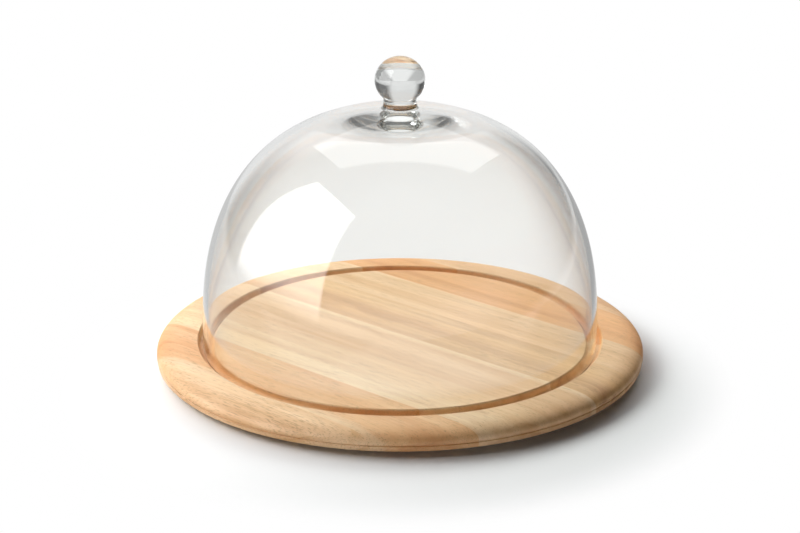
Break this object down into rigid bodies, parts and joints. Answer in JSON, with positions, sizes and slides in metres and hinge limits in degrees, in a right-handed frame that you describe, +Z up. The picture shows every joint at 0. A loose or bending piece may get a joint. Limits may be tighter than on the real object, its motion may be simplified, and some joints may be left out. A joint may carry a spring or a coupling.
{
  "type": "glass food cover with serving board",
  "caption": "Clear glass dome with a solid ball knob that covers food, standing in the turned groove of a round edge-glued wooden serving board.",
  "frame": {"origin": "centre of the board's underside, on the surface that it stands on", "axes": "+Z up along the axis that the board and the dome were turned about; +X along the grain of the staves; +Y from the first stave to the last"},
  "size_m": [0.3, 0.3, 0.1908],
  "materials": {
    "clear_glass": "fire-polished clear soda-lime glass",
    "wood_straw": "oiled light hardwood, straw yellow with dark pores",
    "wood_honey": "oiled light hardwood, honey",
    "wood_cream": "oiled light hardwood, cream",
    "wood_tan": "oiled light hardwood, tan",
    "wood_nut": "oiled light hardwood, nut brown",
    "wood_rose": "oiled light hardwood, pinkish tan",
    "wood_amber": "oiled light hardwood, amber",
    "wood_pale": "oiled light hardwood, pale tan"
  },
  "bodies": {
    "board": {"board_stave_1": "wood_straw", "board_stave_2": "wood_honey", "board_stave_3": "wood_cream", "board_stave_4": "wood_tan", "board_stave_5": "wood_nut", "board_stave_6": "wood_rose", "board_stave_7": "wood_amber", "board_stave_8": "wood_pale"},
    "cover": {"glass_dome": "clear_glass", "glass_knob": "clear_glass"}
  },
  "joints": [
    {"name": "cover_lift", "type": "slide", "parent": "board", "child": "cover", "axis": [0, 0, 1], "range_m": [0, 0.18]}
  ]
}
